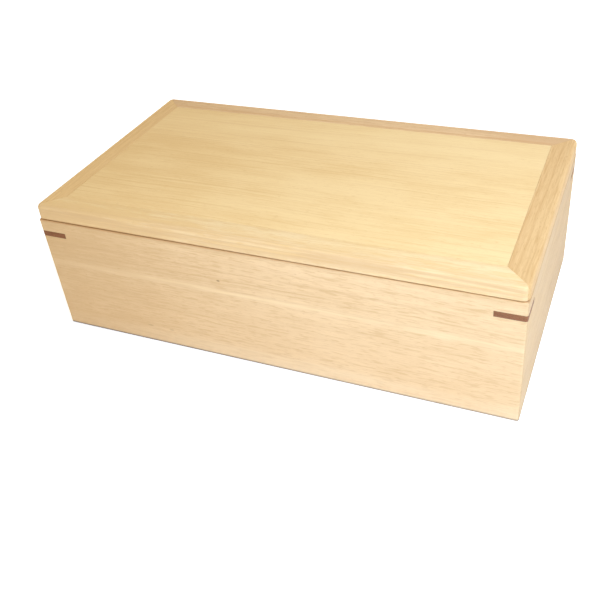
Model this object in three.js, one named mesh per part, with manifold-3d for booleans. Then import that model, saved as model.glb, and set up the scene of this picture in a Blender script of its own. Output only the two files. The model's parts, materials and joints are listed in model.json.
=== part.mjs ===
// A long one-tier wooden bento box. The body has four mitred walls with a dark key across each
// upright corner and a bottom board housed in grooves. The lid is a mitred frame round a flush
// panel, lifts straight off, and carries a lip that drops inside the walls. A loose divider
// stands on the bottom board and slides along the box.
//
// Millimetres, +Z up. The origin is on the table under the middle of the box. The long sides
// run along X and the front faces -Y.

import * as THREE from "three";
import { mergeVertices } from "three/addons/utils/BufferGeometryUtils.js";
import Module from "manifold-3d";

// Body
const BOX_LENGTH = 200;
const BOX_WIDTH = 109.2;
const BODY_HEIGHT = 54.6;
const WALL_THICKNESS = 7;
const WALL_CORNER_RADIUS = 0.9; // upright outer corners of the body
const WALL_ARRIS = 0.4; // softened top and bottom edges of the walls
const GLUE_LINE = 0.05; // between faces that are glued together

// Bottom board, housed in a groove round the walls
const BOTTOM_THICKNESS = 4;
const BOTTOM_RECESS = 3; // the board's underside above the table
const BOTTOM_GROOVE_DEPTH = 3;
const BOTTOM_PLAY = 0.3; // room for the board to swell at each edge

// Corner keys, glued into a saw kerf across each mitre
const KEY_LEG = 11.5; // length of the key that shows on each face
const KEY_THICKNESS = 2.4;
const KEY_DROP = 6.6; // the key's middle below the top of the wall

// Lid frame
const RAIL_WIDTH = 9.4;
const LID_THICKNESS = 6.4;
const LID_ROUND = 1.8; // round-over of the lid's top edge
const LID_CORNER_RADIUS = 2.6; // upright outer corners of the lid
const LID_SEAT_GAP = 0.4; // the fine shadow line between lid and walls
const LID_GROOVE_DEPTH = 3.3; // groove in each rail for the panel's tongue

// Lid panel
const PANEL_GAP = 0.08; // between the panel's shoulder and the rails
const PANEL_PLAY = 0.4; // between the panel's tongue and the bottom of the groove
const PANEL_TONGUE_THICKNESS = 2;

// Hidden loose tongues across the mitres of the lid frame
const LOOSE_TONGUE_WIDTH = 3; // along the mitre
const LOOSE_TONGUE_THICKNESS = 2;
const LOOSE_TONGUE_SETBACK = 1; // from the corner of the panel groove
const LOOSE_TONGUE_COVER = 1.4; // wood left outside its ends

// Lip strips under the lid
const LIP_WIDTH = 5;
const LIP_HEIGHT = 4;
const LIP_CLEARANCE = 0.5; // to the inner face of the walls
const LIP_LEAD_IN = 0.8; // rounded lower outer edge

// Divider
const DIVIDER_PLACE = 20; // where it stands along the box, from the middle
const DIVIDER_THICKNESS = 3;
const DIVIDER_END_WIDTH = 20; // of each end plate, along the box
const DIVIDER_END_THICKNESS = 3;
const DIVIDER_DADO_DEPTH = 1; // the board's ends are housed this deep in the end plates
const DIVIDER_CLEARANCE = 0.3; // to the walls and to the bottom board
const DIVIDER_HEADROOM = 0.7; // below the lid's lip
const DIVIDER_ARRIS = 0.5;

// How finely curves are cut, and how far a cut runs past what it cuts
const CORNER_SEGMENTS = 6;
const ROUND_SEGMENTS = 6;
const CUT_OVERRUN = 1;

const QUARTER_TURN = Math.PI / 2;
const EIGHTH_TURN = Math.PI / 4;
const MERGE_TOLERANCE = 1e-4;

const INNER_LENGTH = BOX_LENGTH - 2 * WALL_THICKNESS;
const INNER_WIDTH = BOX_WIDTH - 2 * WALL_THICKNESS;
const FLOOR_LEVEL = BOTTOM_RECESS + BOTTOM_THICKNESS + GLUE_LINE;
const LID_LEVEL = BODY_HEIGHT + LID_SEAT_GAP;

// How far in a loose tongue's middle lies from both outer faces, and its length across the mitre.
const LOOSE_TONGUE_PLACE =
  RAIL_WIDTH - LID_GROOVE_DEPTH - (LOOSE_TONGUE_SETBACK + LOOSE_TONGUE_WIDTH / 2) * Math.SQRT1_2;
const LOOSE_TONGUE_LENGTH =
  2 * (LOOSE_TONGUE_PLACE - LOOSE_TONGUE_COVER) * Math.SQRT2 - LOOSE_TONGUE_WIDTH;

const wasm = await Module();
wasm.setup();

// Solids

// A closed geometry as a solid that can be cut and joined.
function solidOf(geometry) {
  const bare = new THREE.BufferGeometry().setAttribute("position", geometry.getAttribute("position"));
  bare.setIndex(geometry.index);
  const merged = mergeVertices(bare, MERGE_TOLERANCE);
  return new wasm.Manifold(
    new wasm.Mesh({
      numProp: 3,
      vertProperties: new Float32Array(merged.getAttribute("position").array),
      triVerts: new Uint32Array(merged.index.array),
    }),
  );
}

// A solid back as a geometry with flat faces.
function geometryOf(solid) {
  const mesh = solid.getMesh();
  const geometry = new THREE.BufferGeometry()
    .setAttribute("position", new THREE.BufferAttribute(new Float32Array(mesh.vertProperties), 3))
    .setIndex(new THREE.BufferAttribute(new Uint32Array(mesh.triVerts), 1))
    .toNonIndexed();
  geometry.computeVertexNormals();
  return geometry;
}

// An outline pulled up from one height to another. A round above zero rounds its top and bottom
// edges over, and a round below zero flares them out, to round the edges of what it cuts.
function upright(outline, bottom, top, round = 0) {
  const reach = Math.abs(round);
  const geometry = new THREE.ExtrudeGeometry(outline, {
    depth: top - bottom - 2 * reach,
    curveSegments: CORNER_SEGMENTS,
    bevelEnabled: reach > 0,
    bevelThickness: reach,
    bevelSize: round,
    bevelOffset: -round,
    bevelSegments: ROUND_SEGMENTS,
  });
  return geometry.translate(0, 0, bottom + reach);
}

function prism(outline, bottom, top, round) {
  return solidOf(upright(outline, bottom, top, round));
}

// A square-edged block between two corners.
function block(low, high) {
  const size = high.map((value, axis) => value - low[axis]);
  const centre = high.map((value, axis) => (value + low[axis]) / 2);
  return solidOf(new THREE.BoxGeometry(...size).translate(...centre));
}

// Outlines

// A rectangle with rounded corners, from x = -length / 2 and from y = 0 to y = width.
function roundedRectangle(length, width, radius) {
  const right = length / 2;
  const shape = new THREE.Shape();
  shape.moveTo(-right + radius, 0);
  shape.lineTo(right - radius, 0);
  shape.absarc(right - radius, radius, radius, -QUARTER_TURN, 0);
  shape.lineTo(right, width - radius);
  shape.absarc(right - radius, width - radius, radius, 0, QUARTER_TURN);
  shape.lineTo(-right + radius, width);
  shape.absarc(-right + radius, width - radius, radius, QUARTER_TURN, 2 * QUARTER_TURN);
  shape.lineTo(-right, radius);
  shape.absarc(-right + radius, radius, radius, 2 * QUARTER_TURN, 3 * QUARTER_TURN);
  return shape;
}

function rectangle(length, near, far) {
  const right = length / 2;
  return new THREE.Shape([
    new THREE.Vector2(-right, near),
    new THREE.Vector2(right, near),
    new THREE.Vector2(right, far),
    new THREE.Vector2(-right, far),
  ]);
}

// One side of a mitred ring, cut at 45 degrees at both ends with half a glue line left off. It
// runs a little past the outer face, so that it can be cut out of a rounded block.
function mitredSide(length, width) {
  const halfGlue = (GLUE_LINE / 2) * Math.SQRT2;
  const end = (depth) => length / 2 - depth - halfGlue;
  return new THREE.Shape([
    new THREE.Vector2(-end(-CUT_OVERRUN), -CUT_OVERRUN),
    new THREE.Vector2(end(-CUT_OVERRUN), -CUT_OVERRUN),
    new THREE.Vector2(end(width), width),
    new THREE.Vector2(-end(width), width),
  ]);
}

// Pieces. A side piece lies along X with its outer face at y = 0, and a corner piece has the
// corner at its origin and runs into +X and +Y.

// A groove along the inner face of a side, as long as the ring that it belongs to.
function sideGroove(length, width, depth, bottom, top) {
  const wallBehind = width - depth;
  const reach = length / 2 - wallBehind;
  return block([-reach, wallBehind, bottom], [reach, width + CUT_OVERRUN, top]);
}

// The kerf that a corner key sits in.
function keyKerf() {
  const leg = KEY_LEG + GLUE_LINE * Math.SQRT2;
  const outline = new THREE.Shape([
    new THREE.Vector2(-CUT_OVERRUN, -CUT_OVERRUN),
    new THREE.Vector2(leg + CUT_OVERRUN, -CUT_OVERRUN),
    new THREE.Vector2(-CUT_OVERRUN, leg + CUT_OVERRUN),
  ]);
  const middle = BODY_HEIGHT - KEY_DROP;
  const half = KEY_THICKNESS / 2 + GLUE_LINE;
  return upright(outline, middle - half, middle + half);
}

// The block of a loose tongue, or of its slot when it is grown by the glue line.
function tongueBlock(growth) {
  const sizes = [LOOSE_TONGUE_WIDTH, LOOSE_TONGUE_LENGTH, LOOSE_TONGUE_THICKNESS];
  return new THREE.BoxGeometry(...sizes.map((size) => size + 2 * growth))
    .rotateZ(EIGHTH_TURN)
    .translate(LOOSE_TONGUE_PLACE, LOOSE_TONGUE_PLACE, LID_THICKNESS / 2);
}

// A corner cut, the same to both sides of the corner's diagonal, made at both ends of a side.
function atBothEnds(cut, length) {
  const left = cut.clone().translate(-length / 2, 0, 0);
  const right = cut.clone().rotateZ(QUARTER_TURN).translate(length / 2, 0, 0);
  return solidOf(left).add(solidOf(right));
}

function wall(length, across) {
  const inner = rectangle(length - 2 * WALL_THICKNESS, WALL_THICKNESS, across - WALL_THICKNESS);
  const grooveTop = FLOOR_LEVEL + GLUE_LINE;
  return prism(roundedRectangle(length, across, WALL_CORNER_RADIUS), 0, BODY_HEIGHT, WALL_ARRIS)
    .intersect(prism(mitredSide(length, WALL_THICKNESS), -CUT_OVERRUN, BODY_HEIGHT + CUT_OVERRUN))
    .subtract(prism(inner, -CUT_OVERRUN, BODY_HEIGHT, -WALL_ARRIS))
    .subtract(sideGroove(length, WALL_THICKNESS, BOTTOM_GROOVE_DEPTH, BOTTOM_RECESS, grooveTop))
    .subtract(atBothEnds(keyKerf(), length));
}

function cornerKey() {
  const radius = WALL_CORNER_RADIUS;
  const outline = new THREE.Shape();
  outline.moveTo(radius, 0);
  outline.lineTo(KEY_LEG, 0);
  outline.lineTo(0, KEY_LEG);
  outline.lineTo(0, radius);
  outline.absarc(radius, radius, radius, 2 * QUARTER_TURN, 3 * QUARTER_TURN);
  return prism(outline, -KEY_THICKNESS / 2, KEY_THICKNESS / 2);
}

function bottomBoard() {
  const inset = WALL_THICKNESS - BOTTOM_GROOVE_DEPTH + BOTTOM_PLAY;
  return solidOf(
    new THREE.BoxGeometry(BOX_LENGTH - 2 * inset, BOX_WIDTH - 2 * inset, BOTTOM_THICKNESS),
  );
}

function rail(length, across) {
  const outline = roundedRectangle(length, across, LID_CORNER_RADIUS);
  const tongueTop = (LID_THICKNESS + PANEL_TONGUE_THICKNESS) / 2 + GLUE_LINE;
  const tongueBottom = LID_THICKNESS - tongueTop;
  return prism(outline, -CUT_OVERRUN - LID_ROUND, LID_THICKNESS, LID_ROUND)
    .intersect(prism(outline, 0, LID_THICKNESS + CUT_OVERRUN, WALL_ARRIS))
    .intersect(prism(mitredSide(length, RAIL_WIDTH), -CUT_OVERRUN, LID_THICKNESS + CUT_OVERRUN))
    .subtract(sideGroove(length, RAIL_WIDTH, LID_GROOVE_DEPTH, tongueBottom, tongueTop))
    .subtract(atBothEnds(tongueBlock(GLUE_LINE), length));
}

function lidPanel() {
  const shoulder = RAIL_WIDTH + PANEL_GAP;
  const tongue = RAIL_WIDTH - LID_GROOVE_DEPTH + PANEL_PLAY;
  const field = new THREE.BoxGeometry(BOX_LENGTH - 2 * shoulder, BOX_WIDTH - 2 * shoulder, LID_THICKNESS);
  const tongued = new THREE.BoxGeometry(
    BOX_LENGTH - 2 * tongue,
    BOX_WIDTH - 2 * tongue,
    PANEL_TONGUE_THICKNESS,
  );
  return solidOf(field).add(solidOf(tongued));
}

function lipStrip(length, across) {
  const outline = rectangle(length, 0, across);
  return prism(outline, -LIP_HEIGHT, LIP_LEAD_IN + CUT_OVERRUN, LIP_LEAD_IN).intersect(
    prism(mitredSide(length, LIP_WIDTH), -LIP_HEIGHT - CUT_OVERRUN, 0),
  );
}

// Divider. It stands on z = 0 with its board across X and one end plate at each wall.
const DIVIDER_HEIGHT = LID_LEVEL - LIP_HEIGHT - DIVIDER_HEADROOM - FLOOR_LEVEL - DIVIDER_CLEARANCE;
const DIVIDER_SPAN = INNER_WIDTH - 2 * DIVIDER_CLEARANCE;

function dividerBoard() {
  const length = DIVIDER_SPAN - 2 * (DIVIDER_END_THICKNESS - DIVIDER_DADO_DEPTH + GLUE_LINE);
  const half = DIVIDER_THICKNESS / 2;
  return prism(rectangle(length, -half, half), 0, DIVIDER_HEIGHT, DIVIDER_ARRIS);
}

// The plate's outer face is at y = 0.
function dividerEnd() {
  const outline = rectangle(DIVIDER_END_WIDTH, 0, DIVIDER_END_THICKNESS);
  const dadoHalf = DIVIDER_THICKNESS / 2 + GLUE_LINE;
  const dadoFrom = DIVIDER_END_THICKNESS - DIVIDER_DADO_DEPTH;
  const dado = block(
    [-dadoHalf, dadoFrom, -CUT_OVERRUN],
    [dadoHalf, DIVIDER_END_THICKNESS + CUT_OVERRUN, DIVIDER_HEIGHT + CUT_OVERRUN],
  );
  return prism(outline, 0, DIVIDER_HEIGHT, DIVIDER_ARRIS).subtract(dado);
}

// Materials
function timber(color, roughness) {
  return new THREE.MeshStandardMaterial({ color, roughness, metalness: 0 });
}

const WALL_WOOD = timber(0xecd0a0, 0.55);
const RAIL_WOOD = timber(0xe6c48f, 0.5);
const PANEL_WOOD = timber(0xf0d89f, 0.5);
const INNER_WOOD = timber(0xeed6ab, 0.65);
const KEY_WOOD = timber(0x74432c, 0.5);

// Assembly

function named(name, solid, material) {
  const mesh = new THREE.Mesh(geometryOf(solid), material);
  mesh.name = name;
  return mesh;
}

// The four sides of a ring, each turned about Z from the front's place, and the four corners.
const SIDES = [
  { side: "front", long: true, turn: 0 },
  { side: "right", long: false, turn: QUARTER_TURN },
  { side: "back", long: true, turn: 2 * QUARTER_TURN },
  { side: "left", long: false, turn: 3 * QUARTER_TURN },
];
const CORNERS = [
  { corner: "front_left", x: -1, y: -1, turn: 0 },
  { corner: "front_right", x: 1, y: -1, turn: QUARTER_TURN },
  { corner: "back_right", x: 1, y: 1, turn: 2 * QUARTER_TURN },
  { corner: "back_left", x: -1, y: 1, turn: 3 * QUARTER_TURN },
];

// A ring of four mitred pieces. make(length, across) gives one side of a ring of that size.
function ring(inset, make, nameOf, material) {
  const group = new THREE.Group();
  const length = BOX_LENGTH - 2 * inset;
  const width = BOX_WIDTH - 2 * inset;
  for (const { side, long, turn } of SIDES) {
    const along = long ? length : width;
    const across = long ? width : length;
    const mesh = named(nameOf(side), make(along, across), material);
    mesh.position.y = -across / 2;
    const pivot = new THREE.Group();
    pivot.rotation.z = turn;
    pivot.add(mesh);
    group.add(pivot);
  }
  return group;
}

// The same piece at each of the four outer corners.
function corners(solid, nameOf, material) {
  const group = new THREE.Group();
  for (const { corner, x, y, turn } of CORNERS) {
    const mesh = named(nameOf(corner), solid, material);
    const pivot = new THREE.Group();
    pivot.position.set((x * BOX_LENGTH) / 2, (y * BOX_WIDTH) / 2, 0);
    pivot.rotation.z = turn;
    pivot.add(mesh);
    group.add(pivot);
  }
  return group;
}

function body() {
  const group = new THREE.Group();
  const bottom = named("bottom_board", bottomBoard(), INNER_WOOD);
  bottom.position.z = FLOOR_LEVEL - BOTTOM_THICKNESS / 2;
  const keys = corners(cornerKey(), (corner) => `key_${corner}`, KEY_WOOD);
  keys.position.z = BODY_HEIGHT - KEY_DROP;
  group.add(ring(0, wall, (side) => `${side}_wall`, WALL_WOOD), bottom, keys);
  return group;
}

function lid() {
  const group = new THREE.Group();
  group.position.z = LID_LEVEL;
  const panel = named("lid_panel", lidPanel(), PANEL_WOOD);
  panel.position.z = LID_THICKNESS / 2;
  group.add(
    ring(0, rail, (side) => `lid_rail_${side}`, RAIL_WOOD),
    panel,
    corners(solidOf(tongueBlock(0)), (corner) => `lid_tongue_${corner}`, INNER_WOOD),
    ring(WALL_THICKNESS + LIP_CLEARANCE, lipStrip, (side) => `lid_lip_${side}`, INNER_WOOD),
  );
  return group;
}

function divider() {
  const group = new THREE.Group();
  group.position.set(DIVIDER_PLACE, 0, FLOOR_LEVEL + DIVIDER_CLEARANCE);
  const board = named("divider_board", dividerBoard(), INNER_WOOD);
  board.rotation.z = QUARTER_TURN;
  group.add(board);
  for (const { side, turn } of SIDES.filter(({ long }) => long)) {
    const plate = named(`divider_end_${side}`, dividerEnd(), INNER_WOOD);
    plate.position.y = -DIVIDER_SPAN / 2;
    const pivot = new THREE.Group();
    pivot.rotation.z = turn;
    pivot.add(plate);
    group.add(pivot);
  }
  return group;
}

const bentoBox = new THREE.Group();
bentoBox.name = "bento_box";
bentoBox.add(body(), lid(), divider());

export default bentoBox;
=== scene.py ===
"""A wooden bento box: pale straight-grained wood, dark corner keys and a flush framed lid.

Every piece is its CAD solid with softened edges and a wood made for that board, so that the grain
runs along each piece and the rings differ from board to board.
"""

import json
import math
from dataclasses import dataclass, replace

import bmesh
import bpy
from mathutils import Euler, Matrix, Vector

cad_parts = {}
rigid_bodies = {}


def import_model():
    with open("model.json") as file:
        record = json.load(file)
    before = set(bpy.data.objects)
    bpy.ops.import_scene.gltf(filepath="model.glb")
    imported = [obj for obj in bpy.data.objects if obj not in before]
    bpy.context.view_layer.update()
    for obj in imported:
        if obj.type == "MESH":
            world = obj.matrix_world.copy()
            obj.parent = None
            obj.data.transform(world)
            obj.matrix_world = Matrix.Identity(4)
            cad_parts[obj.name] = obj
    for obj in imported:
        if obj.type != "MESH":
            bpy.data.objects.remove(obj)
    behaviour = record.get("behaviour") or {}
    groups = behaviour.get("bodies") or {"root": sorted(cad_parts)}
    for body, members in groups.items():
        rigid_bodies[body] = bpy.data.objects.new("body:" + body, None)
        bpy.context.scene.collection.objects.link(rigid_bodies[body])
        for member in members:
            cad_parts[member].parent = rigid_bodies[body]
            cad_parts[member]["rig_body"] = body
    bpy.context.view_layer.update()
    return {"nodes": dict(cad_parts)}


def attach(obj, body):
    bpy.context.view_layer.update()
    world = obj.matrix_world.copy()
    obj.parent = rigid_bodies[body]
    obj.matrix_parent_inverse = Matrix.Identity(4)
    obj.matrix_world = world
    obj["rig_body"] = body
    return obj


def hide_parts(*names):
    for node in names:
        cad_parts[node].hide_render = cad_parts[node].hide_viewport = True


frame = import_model()

SIDES = ("front", "right", "back", "left")
CORNERS = ("front_left", "front_right", "back_right", "back_left")
MM = 0.001
QUARTER = math.pi / 2

# Camera, as measured from the box's edges in the photograph
CAMERA_PLACE = Vector((0.12633, -0.26765, 0.2206))
CAMERA_HEADING = math.radians(25.6)
CAMERA_TILT = math.radians(35.09)
CAMERA_ROLL = math.radians(-5.58)
CAMERA_LENS = 48.54
CAMERA_SENSOR = 36.0
CAMERA_SHIFT = (-0.0292, -0.0512)
CAMERA_CLIP = 0.01

# Softened edges
MERGE_DISTANCE = 0.002 * MM
FLAT_ANGLE = math.radians(0.5)
EDGE_ANGLE = math.radians(35)
EDGE_WIDTH = 0.04 * MM
EDGE_SEGMENTS = 2


def make_camera():
    data = bpy.data.cameras.new("camera")
    data.lens = CAMERA_LENS
    data.sensor_width = CAMERA_SENSOR
    data.shift_x, data.shift_y = CAMERA_SHIFT
    data.clip_start = CAMERA_CLIP
    camera = bpy.data.objects.new("camera", data)
    bpy.context.scene.collection.objects.link(camera)
    look = Euler((QUARTER - CAMERA_TILT, 0, CAMERA_HEADING)).to_matrix()
    roll = Matrix.Rotation(CAMERA_ROLL, 3, "Z")
    camera.matrix_world = Matrix.Translation(CAMERA_PLACE) @ (look @ roll).to_4x4()
    bpy.context.scene.camera = camera


# Shader helpers

# The Mix node's sockets for its share, its first and second colour and its result
MIX_SHARE, MIX_FIRST, MIX_SECOND = 0, 6, 7
MIX_RESULT = 2


def linear(colour):
    """A screen colour, 0 to 255, as opaque linear light."""
    light = []
    for channel in colour:
        share = channel / 255
        light.append(share / 12.92 if share <= 0.04045 else ((share + 0.055) / 1.055) ** 2.4)
    return (*light, 1.0)


class Shader:
    """The nodes of a material or world, by short calls. An input is a number, colour or socket."""

    def __init__(self, owner):
        owner.use_nodes = True
        self.owner = owner
        self.tree = owner.node_tree
        self.tree.nodes.clear()

    def node(self, kind, inputs=None, **settings):
        made = self.tree.nodes.new(kind)
        for setting, value in settings.items():
            setattr(made, setting, value)
        for key, value in (inputs or {}).items():
            if isinstance(value, bpy.types.NodeSocket):
                self.tree.links.new(value, made.inputs[key])
            else:
                made.inputs[key].default_value = value
        return made

    def math(self, operation, *values):
        return self.node("ShaderNodeMath", dict(enumerate(values)), operation=operation).outputs[0]

    def total(self, *parts):
        """The sum of value times weight over the parts."""
        result = 0.0
        for value, weight in parts:
            result = self.math("MULTIPLY_ADD", value, weight, result)
        return result

    def product(self, first, *others):
        result = first
        for value in others:
            result = self.math("MULTIPLY", result, value)
        return result

    def distance(self, value, middle):
        """How far a value is from the middle, on either side."""
        return self.math("ABSOLUTE", self.math("SUBTRACT", value, middle))

    def remap(self, value, low, high, to_low=0.0, to_high=1.0):
        """value from low to high becomes to_low to to_high, smoothly and clamped."""
        inputs = {0: value, 1: low, 2: high, 3: to_low, 4: to_high}
        kind = "ShaderNodeMapRange"
        return self.node(kind, inputs, interpolation_type="SMOOTHSTEP").outputs[0]

    def vector(self, x, y, z):
        return self.node("ShaderNodeCombineXYZ", {0: x, 1: y, 2: z}).outputs[0]

    def length(self, vector):
        return self.node("ShaderNodeVectorMath", {0: vector}, operation="LENGTH").outputs["Value"]

    def noise(self, place, detail, roughness=0.5):
        """Noise round one half whose features are about one unit of place across."""
        inputs = {"Vector": place, "Scale": 1.0, "Detail": detail, "Roughness": roughness}
        return self.node("ShaderNodeTexNoise", inputs).outputs[0]

    def centred(self, noise):
        """Noise round zero instead of round one half."""
        return self.math("SUBTRACT", noise, 0.5)

    def chance(self, number):
        """A random value from 0 to 1 for each whole number."""
        return self.node("ShaderNodeTexWhiteNoise", {"W": number}, noise_dimensions="1D").outputs[0]

    def blend(self, share, first, second):
        """The first colour where share is 0 and the second where it is 1."""
        inputs = {MIX_SHARE: share, MIX_FIRST: first, MIX_SECOND: second}
        return self.node("ShaderNodeMix", inputs, data_type="RGBA").outputs[MIX_RESULT]

    def where_seen(self, unseen, seen):
        """seen for rays from the camera, by gloss or through glass, and unseen for all others."""
        rays = self.node("ShaderNodeLightPath").outputs
        shown = self.math("MAXIMUM", rays["Is Camera Ray"], rays["Is Glossy Ray"])
        shown = self.math("MAXIMUM", shown, rays["Is Transmission Ray"])
        return self.node("ShaderNodeMixShader", {0: shown, 1: unseen, 2: seen}).outputs[0]

    def finish(self, surface, output="ShaderNodeOutputMaterial"):
        self.node(output, {"Surface": surface})
        return self.owner


# Wood

# Lengths are in millimetres. A ramp is two values and then the shares that they turn into, which
# are 0 and 1 where it names none.


@dataclass
class Grain:
    """Noise drawn out along a board: the length and width of its features and how fine it goes."""

    length: float
    width: float
    detail: float
    roughness: float = 0.5


@dataclass
class Streak:
    """A stripe through the wood: the layer at its middle, its width, its share and its colour.
    Streaks give figure, and on the front wall and front rail also painted shade and painted light.
    """

    middle: float
    width: float
    share: float
    colour: tuple


@dataclass
class Mark:
    """A small dark fleck: its place along the board, its height, its length and its share."""

    along: float
    height: float
    length: float
    share: float


@dataclass
class ShadeLine:
    """A painted shade line round the box: its level, its ramp away from there, its shares and its
    colour.
    """

    level: float
    ramp: tuple
    shares: tuple
    colour: tuple


# Each seed takes its wood from a place this much farther along the grain
SEED_STEP = 1000.0

# Growth layers
SWAY = Grain(length=130, width=90, detail=1.0)
WAVER = Grain(length=22, width=9, detail=2.0)
WAVER_HEIGHT = 0.9
LAYER_BOW = 0.0015

# Ring lines: by how many rings they stray and over what width, then how strong each one is and
# how it starts, ends, breaks and tints
RING_SPREAD = 5.0
RING_SPREAD_WIDTH = 9.0
RING_STRENGTHS = (0.1, 1.0, 0.15, 1.0)
RING_START = (0.35, 0.85)
RING_END = (0.88, 1.0, 1.0, 0.0)
RING_BREAKS = Grain(length=38, width=1.6, detail=2.0)
RING_BREAK_RAMP = (0.3, 0.65)
RING_TINT = 0.6

# The calm part of a board: over what width the figure fades into it, what is left there, and the
# layer that lies under every board and so gives it no such part
CALM_EDGE = 2.0
CALM_SHARE = 0.22
NO_CALM = -1000.0

# Bands, clouding, dashes, fibres and pores
BAND_LENGTH = 300.0
MOTTLE = Grain(length=26, width=7, detail=2.0)
DASHES = Grain(length=6, width=0.8, detail=1.0)
DASH_RAMP = (0.5, 0.7)
FIBRES = Grain(length=11, width=0.42, detail=3.0, roughness=0.6)
PORES = Grain(length=2.6, width=0.26, detail=1.0)
PORE_RAMP = (0.6, 0.75)

# The tone where all noise is in the middle, and how much farther than the noise it strays
MIDDLE_TONE = 0.36
NOISE_GAIN = 3.2

# Streaks: how patchy they are, and how far from the middle, in widths, they start to fade and end
STREAK_PATCHES = Grain(length=40, width=1.2, detail=2.0)
STREAK_PATCH_RAMP = (0.3, 0.6, 0.4, 1.0)
STREAK_EDGE = (0.15, 0.75)

# Marks: how far from the middle, in half sizes, they start to fade and end
MARK_WIDTH = 0.8
MARK_EDGE = (0.5, 1.2)
MARK_BROWN = (150, 112, 74)

# Painted shade lines on the outer faces: a painted shade along the lid's seam and a painted contact
# shade at the foot, each from its first share to its second between two places along a board. It
# starts at the first depth under the face and is full at the second.
SEAM_SHADE = ShadeLine(level=54.8, ramp=(0.3, 1.2, 1.0, 0.0), shares=(0.0, 0.4), colour=(172, 114, 58))
# Painted contact shade along the foot of the outer faces, in a grey brown
FOOT_SHADE = ShadeLine(level=0.0, ramp=(0.4, 1.3, 1.0, 0.0), shares=(0.7, 1.0), colour=(134, 118, 110))
SHADE_LINE_REACH = (110.0, -110.0)
SHADE_LINE_DEPTHS = (1.1, 0.5)

# Surface, with the height of its relief in metres
FIBRE_RELIEF = 0.3
PORE_RELIEF = -1.0
RELIEF_STRENGTH = 0.2
RELIEF_HEIGHT = 0.04 * MM
FIBRE_ROUGHNESS = 0.1
PORE_ROUGHNESS = 0.15
GLOSS_LEVEL = 0.25


@dataclass
class Board:
    """How the wood of one board looks. Colours are screen colours, lengths are in millimetres.

    The wood runs from light to dark, and its rings and pores are tinted with line. level is the
    angle of the growth layers: 0 stacks them upwards and a quarter turn across the board. slope
    is how far they climb along it and sway how far they swing. ring and band are the widths of
    rings and bands, and each share is how strong that part of the figure is. A board with its
    outer face outside millimetres from the middle of the box gets a painted shade along the lid's
    seam and a painted contact shade at the foot. fade is painted shade for the light falling off
    along the box: how much darker the board grows between the two places of fade_reach, and it
    grows lighter where fade is below zero. streak_fade is how much weaker its streaks grow there.
    Below the layer calm the rings and bands are faint.
    """

    light: tuple
    dark: tuple
    line: tuple
    level: float = 0.0
    ring: float = 2.4
    ring_share: float = 0.3
    band: float = 2.2
    band_share: float = 0.45
    fibre_share: float = 0.5
    mottle_share: float = 0.2
    dash_share: float = 0.2
    pore_share: float = 0.45
    sway: float = 6.0
    slope: float = 0.0
    roughness: float = 0.52
    streaks: tuple = ()
    marks: tuple = ()
    outside: float = 0.0
    fade: float = 0.0
    fade_reach: tuple = (30.0, -110.0)
    streak_fade: float = 0.0
    calm: float = NO_CALM


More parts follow.
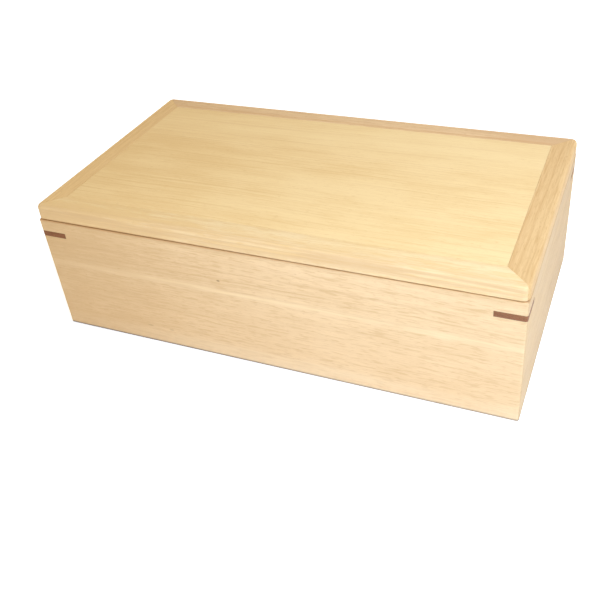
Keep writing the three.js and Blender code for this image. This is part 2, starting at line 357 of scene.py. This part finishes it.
class Wood(Shader):
    """The wood of one board, solid through it. turn, about +Z, brings its grain to +X."""

    def __init__(self, name, board, seed, turn):
        super().__init__(bpy.data.materials.new(name))
        self.board = board
        self.seed = seed
        place = self.node("ShaderNodeTexCoord").outputs["Object"]
        inputs = {"Vector": place, "Rotation": (0, 0, turn), "Scale": (1 / MM,) * 3}
        turned = self.node("ShaderNodeMapping", inputs).outputs[0]
        self.along, self.across, self.depth = self.node("ShaderNodeSeparateXYZ", {0: turned}).outputs
        self.seeded = self.math("ADD", self.along, SEED_STEP * seed)
        self.layer = self.growth_layer()
        self.figure = self.remap(self.layer, board.calm - CALM_EDGE, board.calm, CALM_SHARE, 1.0)
        self.ring_line = self.ring_lines()
        self.fibres = self.grain(FIBRES)
        self.pores = self.remap(self.grain(PORES), *PORE_RAMP)

    def grain(self, kind):
        """Noise round one half, drawn out along the board."""
        parts = (self.seeded, kind.length), (self.across, kind.width), (self.depth, kind.width)
        place = self.vector(*(self.math("DIVIDE", part, size) for part, size in parts))
        return self.noise(place, kind.detail, kind.roughness)

    def growth_layer(self):
        """The place through the growth layers, which bow a little and sway along the board."""
        sine, cosine = math.sin(self.board.level), math.cos(self.board.level)
        sideways = self.total((self.across, cosine), (self.depth, -sine))
        return self.total(
            (self.across, sine),
            (self.depth, cosine),
            (self.product(sideways, sideways), LAYER_BOW),
            (self.along, -self.board.slope),
            (self.centred(self.grain(SWAY)), self.board.sway),
            (self.centred(self.grain(WAVER)), WAVER_HEIGHT),
        )

    def ring_lines(self):
        """Ring lines of uneven spacing and strength, broken here and there."""
        spread_layer = self.math("DIVIDE", self.layer, RING_SPREAD_WIDTH)
        spread = self.noise(self.vector(spread_layer, self.seed, 0.0), detail=1.0)
        rings = self.total((self.layer, 1 / self.board.ring), (spread, RING_SPREAD))
        part = self.math("FRACT", rings)
        late_wood = self.product(self.remap(part, *RING_START), self.remap(part, *RING_END))
        strength = self.remap(self.chance(self.math("FLOOR", rings)), *RING_STRENGTHS)
        unbroken = self.remap(self.grain(RING_BREAKS), *RING_BREAK_RAMP)
        return self.product(late_wood, self.figure, strength, unbroken)

    def bands(self):
        """Broad bands along the layers, round zero."""
        layer = self.math("DIVIDE", self.layer, self.board.band)
        along = self.math("DIVIDE", self.seeded, BAND_LENGTH)
        bands = self.noise(self.vector(layer, along, self.seed), detail=2.0, roughness=0.6)
        return self.product(self.centred(bands), self.figure)

    def tone(self):
        """Where the wood is from light, at 0, to dark, at 1."""
        board = self.board
        return self.total(
            (self.bands(), NOISE_GAIN * board.band_share),
            (self.centred(self.grain(MOTTLE)), NOISE_GAIN * board.mottle_share),
            (self.centred(self.fibres), NOISE_GAIN * board.fibre_share),
            (self.ring_line, board.ring_share),
            (self.remap(self.grain(DASHES), *DASH_RAMP), board.dash_share),
            # Painted shade: darker towards one end of the board, for the light falling off along the
            # box
            (self.remap(self.along, *board.fade_reach), board.fade),
            (1.0, MIDDLE_TONE),
        )

    def with_streaks(self, colour):
        kept = self.remap(self.along, *self.board.fade_reach, 1.0, 1.0 - self.board.streak_fade)
        patches = self.remap(self.grain(STREAK_PATCHES), *STREAK_PATCH_RAMP)
        for streak in self.board.streaks:
            edge = (part * streak.width for part in STREAK_EDGE)
            inside = self.remap(self.distance(self.layer, streak.middle), *edge, streak.share, 0.0)
            share = self.product(inside, patches, kept)
            colour = self.blend(share, colour, linear(streak.colour))
        return colour

    def with_mark(self, colour, mark):
        along = self.math("DIVIDE", self.math("SUBTRACT", self.along, mark.along), mark.length / 2)
        up = self.math("DIVIDE", self.math("SUBTRACT", self.depth, mark.height), MARK_WIDTH / 2)
        away = self.length(self.vector(along, up, 0.0))
        return self.blend(self.remap(away, *MARK_EDGE, mark.share, 0.0), colour, linear(MARK_BROWN))

    def with_painted_shade_lines(self, colour):
        face = (self.board.outside - depth for depth in SHADE_LINE_DEPTHS)
        outer = self.remap(self.math("ABSOLUTE", self.across), *face)
        # Painted shade along the lid's seam and painted contact shade at the foot
        for shade_line in (SEAM_SHADE, FOOT_SHADE):
            near = self.remap(self.distance(self.depth, shade_line.level), *shade_line.ramp)
            share = self.product(near, self.remap(self.along, *SHADE_LINE_REACH, *shade_line.shares), outer)
            colour = self.blend(share, colour, linear(shade_line.colour))
        return colour

    def colour(self):
        board = self.board
        light, dark, line = (linear(colour) for colour in (board.light, board.dark, board.line))
        rings = self.math("MULTIPLY", self.ring_line, RING_TINT * board.ring_share)
        pores = self.math("MULTIPLY", self.pores, board.pore_share)
        colour = self.blend(self.remap(self.tone(), 0.0, 1.0), light, dark)
        colour = self.blend(rings, colour, line)
        colour = self.blend(pores, colour, line)
        if board.streaks:
            colour = self.with_streaks(colour)
        for mark in board.marks:
            colour = self.with_mark(colour, mark)
        if board.outside:
            colour = self.with_painted_shade_lines(colour)
        return colour

    def surface(self):
        relief = self.total((self.fibres, FIBRE_RELIEF), (self.pores, PORE_RELIEF))
        bump = {"Height": relief, "Strength": RELIEF_STRENGTH, "Distance": RELIEF_HEIGHT}
        roughness = self.total(
            (self.pores, PORE_ROUGHNESS), (self.fibres, FIBRE_ROUGHNESS), (1.0, self.board.roughness)
        )
        inputs = {
            "Base Color": self.colour(),
            "Roughness": roughness,
            "Normal": self.node("ShaderNodeBump", bump).outputs[0],
            "Specular IOR Level": GLOSS_LEVEL,
        }
        return self.node("ShaderNodeBsdfPrincipled", inputs).outputs[0]


def wood(name, board, seed, turn=0.0):
    """A material of its own with the wood of one board."""
    made = Wood(name, board, seed, turn)
    return made.finish(made.surface())


# The boards
PALE_BAND = (255, 231, 192)
PALE_YELLOW = (253, 229, 178)
# Painted light for the foot of the front wall
FOOT_LIGHT_PALE = (246, 222, 188)
TAN = (222, 187, 143)
BROWN = (196, 146, 92)

WALL = Board(light=(245, 216, 173), dark=(231, 198, 153), line=(206, 164, 117), outside=54.6)
FRONT_WALL = replace(
    WALL,
    light=(248, 219, 179),
    dark=(224, 190, 144),
    streaks=(
        # Painted shade just under the lid's seam
        Streak(middle=59.6, width=5.0, share=0.35, colour=TAN),
        Streak(middle=38.8, width=2.8, share=0.72, colour=PALE_BAND),
        Streak(middle=24.0, width=20.0, share=0.2, colour=TAN),
        # Painted light: lighter along the foot of the front wall
        Streak(middle=6.6, width=9.0, share=0.6, colour=FOOT_LIGHT_PALE),
    ),
    marks=(
        Mark(along=-18.1, height=39.7, length=1.6, share=0.75),
        Mark(along=-56.0, height=8.5, length=3.2, share=0.3),
        Mark(along=-45.6, height=8.2, length=2.4, share=0.25),
    ),
    ring=2.9,
    ring_share=0.27,
    band_share=0.16,
    mottle_share=0.14,
    fibre_share=0.26,
    dash_share=0.3,
    pore_share=0.5,
    # Painted shade: darker towards the left end
    fade=0.46,
    streak_fade=0.6,
    calm=37.8,
)
SIDE_WALL = replace(
    WALL,
    light=(222, 194, 154),
    dark=(199, 168, 128),
    band_share=0.25,
    fibre_share=0.3,
    mottle_share=0.2,
    outside=100.0,
    # Painted light: the side walls grow lighter towards the front end
    fade=-0.5,
)
RAIL = Board(light=(238, 210, 171), dark=(227, 197, 155), line=(204, 166, 120), level=QUARTER / 2)
FRONT_RAIL = replace(
    RAIL,
    light=(255, 230, 186),
    dark=(247, 215, 159),
    line=(224, 187, 136),
    # Painted shade on the lid's front edge and its rounding
    streaks=(Streak(middle=12.8, width=7.0, share=0.72, colour=TAN),),
    band_share=0.6,
    mottle_share=0.5,
    fibre_share=0.7,
    dash_share=0.4,
    sway=2.0,
    outside=54.6,
    # Painted shade: darker towards the left end
    fade=0.7,
)
LEFT_RAIL = replace(RAIL, light=(238, 204, 149), dark=(225, 188, 133), ring_share=0.4, outside=100.0)
BACK_RAIL = replace(
    RAIL,
    light=(235, 203, 160),
    dark=(214, 178, 136),
    line=(190, 148, 102),
    streaks=(Streak(middle=76.6, width=1.3, share=0.35, colour=BROWN),),
    ring_share=0.2,
    band_share=0.3,
    sway=2.0,
    outside=54.6,
    # Painted shade: darker towards the right end
    fade=0.8,
    fade_reach=(40.0, 95.0),
)
RIGHT_RAIL = replace(
    RAIL,
    light=(232, 198, 147),
    dark=(215, 176, 124),
    line=(190, 146, 98),
    streaks=(
        Streak(middle=-86.6, width=2.0, share=0.12, colour=BROWN),
        Streak(middle=-89.2, width=0.7, share=0.3, colour=BROWN),
    ),
    level=QUARTER,
    band=1.3,
    band_share=0.2,
    ring=1.3,
    ring_share=0.2,
    sway=3.0,
    slope=-0.012,
    outside=100.0,
)
PANEL = Board(
    light=(248, 220, 168),
    dark=(238, 205, 149),
    line=(212, 174, 120),
    level=QUARTER,
    streaks=(Streak(middle=38.5, width=24.0, share=0.35, colour=PALE_YELLOW),),
    ring=1.7,
    band=3.0,
    band_share=0.28,
    fibre_share=0.25,
    mottle_share=0.35,
    dash_share=0.15,
    pore_share=0.35,
    # Painted shade: darker towards the left end
    fade=0.3,
)
INNER = Board(light=(240, 214, 176), dark=(230, 200, 158), line=(204, 164, 120), roughness=0.6)
KEY = Board(light=(156, 107, 77), dark=(136, 91, 64), line=(98, 62, 44), ring=1.2, pore_share=0.5)
LEFT_KEY = replace(KEY, light=(146, 96, 64), dark=(126, 80, 52))

WALLS = {"front": FRONT_WALL, "right": SIDE_WALL, "back": WALL, "left": SIDE_WALL}
RAILS = {"front": FRONT_RAIL, "right": RIGHT_RAIL, "back": BACK_RAIL, "left": LEFT_RAIL}

# The seed of each kind of board, from which the boards of that kind count on
WALL_SEED = 1
PANEL_SEED = 5
BOTTOM_SEED = 6
DIVIDER_SEED = 7
RAIL_SEED = 11
LIP_SEED = 21
KEY_SEED = 30
TONGUE_SEED = 40
DIVIDER_END_SEED = 50


# Pieces


def dress(node, material):
    """Makes a copy of a CAD solid with softened edges that stands for it."""
    name = node + "_wood"
    mesh = frame["nodes"][node].data.copy()
    mesh.name = name
    body = bmesh.new()
    body.from_mesh(mesh)
    bmesh.ops.remove_doubles(body, verts=body.verts, dist=MERGE_DISTANCE)
    bmesh.ops.dissolve_limit(body, angle_limit=FLAT_ANGLE, verts=body.verts, edges=body.edges)
    body.to_mesh(mesh)
    body.free()
    mesh.materials.clear()
    mesh.materials.append(material)
    mesh.polygons.foreach_set("use_smooth", [True] * len(mesh.polygons))
    piece = bpy.data.objects.new(name, mesh)
    bpy.context.scene.collection.objects.link(piece)
    edge = piece.modifiers.new("soft_edges", "BEVEL")
    edge.width = EDGE_WIDTH
    edge.segments = EDGE_SEGMENTS
    edge.limit_method = "ANGLE"
    edge.angle_limit = EDGE_ANGLE
    edge.harden_normals = True
    owner = frame["nodes"][node]["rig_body"]
    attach(piece, owner)
    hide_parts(node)


def dress_sides():
    """The walls, the lid's rails and its lips, each with its grain along its side."""
    for index, side in enumerate(SIDES):
        turn = -QUARTER * (index % 2)
        wall = wood(f"{side}_wall_wood", WALLS[side], WALL_SEED + index, turn)
        rail = wood(f"{side}_rail_wood", RAILS[side], RAIL_SEED + index, turn)
        lip = wood(f"{side}_lip_wood", INNER, LIP_SEED + index, turn)
        dress(f"{side}_wall", wall)
        dress(f"lid_rail_{side}", rail)
        dress(f"lid_lip_{side}", lip)


def dress_flat_boards():
    """The lid's panel and the bottom board."""
    dress("lid_panel", wood("panel_wood", PANEL, PANEL_SEED))
    dress("bottom_board", wood("bottom_wood", INNER, BOTTOM_SEED))


def dress_corners():
    """The keys and the lid's loose tongues, with their grain across the mitres."""
    for index, corner in enumerate(CORNERS):
        turn = QUARTER / 2 * (-1 if index % 2 else 1)
        board = LEFT_KEY if "left" in corner else KEY
        key = wood(f"{corner}_key_wood", board, KEY_SEED + index, turn)
        tongue = wood(f"{corner}_tongue_wood", INNER, TONGUE_SEED + index, turn)
        dress(f"key_{corner}", key)
        dress(f"lid_tongue_{corner}", tongue)


def dress_divider():
    """The divider's board, with its grain across the box, and its two end plates."""
    dress("divider_board", wood("divider_wood", INNER, DIVIDER_SEED, -QUARTER))
    for index, end in enumerate(("front", "back")):
        plate = wood(f"divider_{end}_wood", INNER, DIVIDER_END_SEED + index)
        dress(f"divider_end_{end}", plate)


# Stage: a white floor, soft lamps on all sides and an even warm sky

# The floor shines the more the farther it is from the box: the two distances in metres, then the
# two strengths. Near the box it is weak enough to keep the shadow.
FLOOR_GLOW = (0.15, 0.4, 0.62, 1.2)
FLOOR_GLOW_COLOUR = (0.82, 0.9, 1.0, 1.0)
FLOOR_COLOUR = (0.9, 0.9, 0.9, 1.0)
FLOOR_HALF = 1.5

SKY_COLOUR = (1.0, 0.78, 0.42, 1.0)
SKY_STRENGTH = 0.51
WHITE = (1.0, 1.0, 1.0, 1.0)

RIGHT_HALF = (0.05, 0, 0.03)
MIDDLE = (0, 0, 0.03)
CLEAR_BLUE = (0.64, 0.785, 1.0)
SOFT_BLUE = (0.65, 0.8, 1.0)
PALE_BLUE = (0.8, 0.9, 1.0)


@dataclass
class Lamp:
    """A square lamp: place, aim and size in metres, power in watts, and if gloss mirrors it."""

    name: str
    place: tuple
    aim: tuple
    size: float
    power: float
    colour: tuple
    glossy: bool = False


LAMPS = (
    Lamp("key", (0.12, -0.36, 0.15), RIGHT_HALF, 0.2, power=0.765, colour=CLEAR_BLUE),
    Lamp("top", (0.22, -0.04, 0.36), RIGHT_HALF, 0.2, power=1.02, colour=CLEAR_BLUE),
    Lamp("right", (0.45, -0.06, 0.15), RIGHT_HALF, 0.2, power=0.25, colour=SOFT_BLUE, glossy=True),
    Lamp("back", (-0.05, 0.5, 0.065), MIDDLE, 0.12, power=1.0, colour=PALE_BLUE),
    Lamp("left", (-0.5, 0.12, 0.065), MIDDLE, 0.12, power=0.9, colour=PALE_BLUE),
)


def make_floor():
    mesh = bpy.data.meshes.new("floor")
    half = FLOOR_HALF
    corners = [(-half, -half, 0), (half, -half, 0), (half, half, 0), (-half, half, 0)]
    mesh.from_pydata(corners, [], [(0, 1, 2, 3)])
    floor = bpy.data.objects.new("floor", mesh)
    bpy.context.scene.collection.objects.link(floor)
    shader = Shader(bpy.data.materials.new("floor_white"))
    place = shader.node("ShaderNodeTexCoord").outputs["Object"]
    strength = shader.remap(shader.length(place), *FLOOR_GLOW)
    shine = {"Color": FLOOR_GLOW_COLOUR, "Strength": strength}
    glow = shader.node("ShaderNodeEmission", shine).outputs[0]
    lit = shader.node("ShaderNodeBsdfDiffuse", {"Color": FLOOR_COLOUR}).outputs[0]
    both = shader.node("ShaderNodeAddShader", {0: lit, 1: glow}).outputs[0]
    mesh.materials.append(shader.finish(shader.where_seen(lit, both)))


def make_world():
    world = bpy.data.worlds.new("studio")
    bpy.context.scene.world = world
    shader = Shader(world)
    warm = {"Color": SKY_COLOUR, "Strength": SKY_STRENGTH}
    sky = shader.node("ShaderNodeBackground", warm).outputs[0]
    white = shader.node("ShaderNodeBackground", {"Color": WHITE, "Strength": 1.0}).outputs[0]
    shader.finish(shader.where_seen(sky, white), "ShaderNodeOutputWorld")


def make_lamp(lamp):
    data = bpy.data.lights.new(lamp.name, "AREA")
    data.shape = "SQUARE"
    data.size = lamp.size
    data.energy = lamp.power
    data.color = lamp.colour
    made = bpy.data.objects.new(lamp.name, data)
    bpy.context.scene.collection.objects.link(made)
    made.location = lamp.place
    made.rotation_euler = (Vector(lamp.aim) - Vector(lamp.place)).to_track_quat("-Z", "Y").to_euler()
    made.visible_glossy = lamp.glossy


make_camera()
dress_sides()
dress_flat_boards()
dress_corners()
dress_divider()
make_floor()
make_world()
for lamp in LAMPS:
    make_lamp(lamp)
bpy.context.scene.view_settings.view_transform = "Standard"
